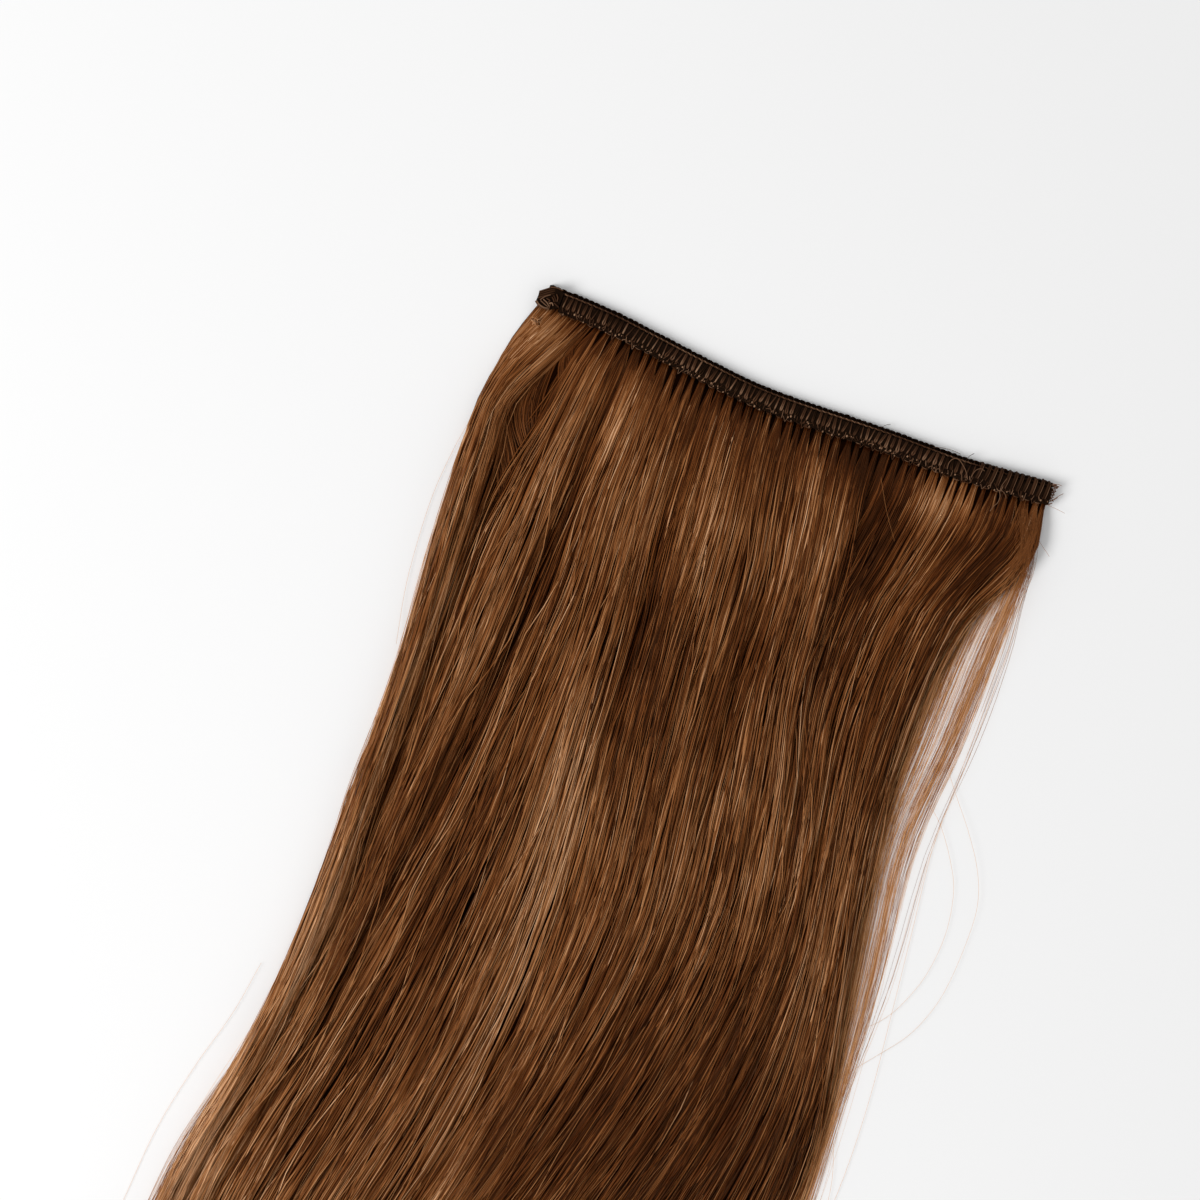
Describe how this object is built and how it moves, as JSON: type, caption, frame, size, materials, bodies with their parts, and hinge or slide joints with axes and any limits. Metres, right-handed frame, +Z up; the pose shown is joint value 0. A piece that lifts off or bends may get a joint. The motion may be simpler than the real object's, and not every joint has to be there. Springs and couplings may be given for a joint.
{
  "type": "hair extension",
  "caption": "Sewn weft hair extension: a narrow stitched band holding a flat fall of long straight brown hair, laid flat.",
  "frame": {"origin": "middle of the band on its flat underside, which lies on the surface", "axes": "+X along the band towards its cut end, +Y from the hair towards the band's top edge, +Z up out of the surface"},
  "size_m": [0.17, 0.4011, 0.008],
  "materials": {
    "track_thread": "dark brown overcast sewing thread, matte",
    "edge_thread": "brown twisted edge thread, matte",
    "hair": "glossy straight warm brown hair"
  },
  "bodies": {
    "root": {"back_track": "track_thread", "front_track": "track_thread", "edge_cord": "edge_thread", "folded_end": "track_thread", "hair_fall": "hair"}
  },
  "joints": []
}
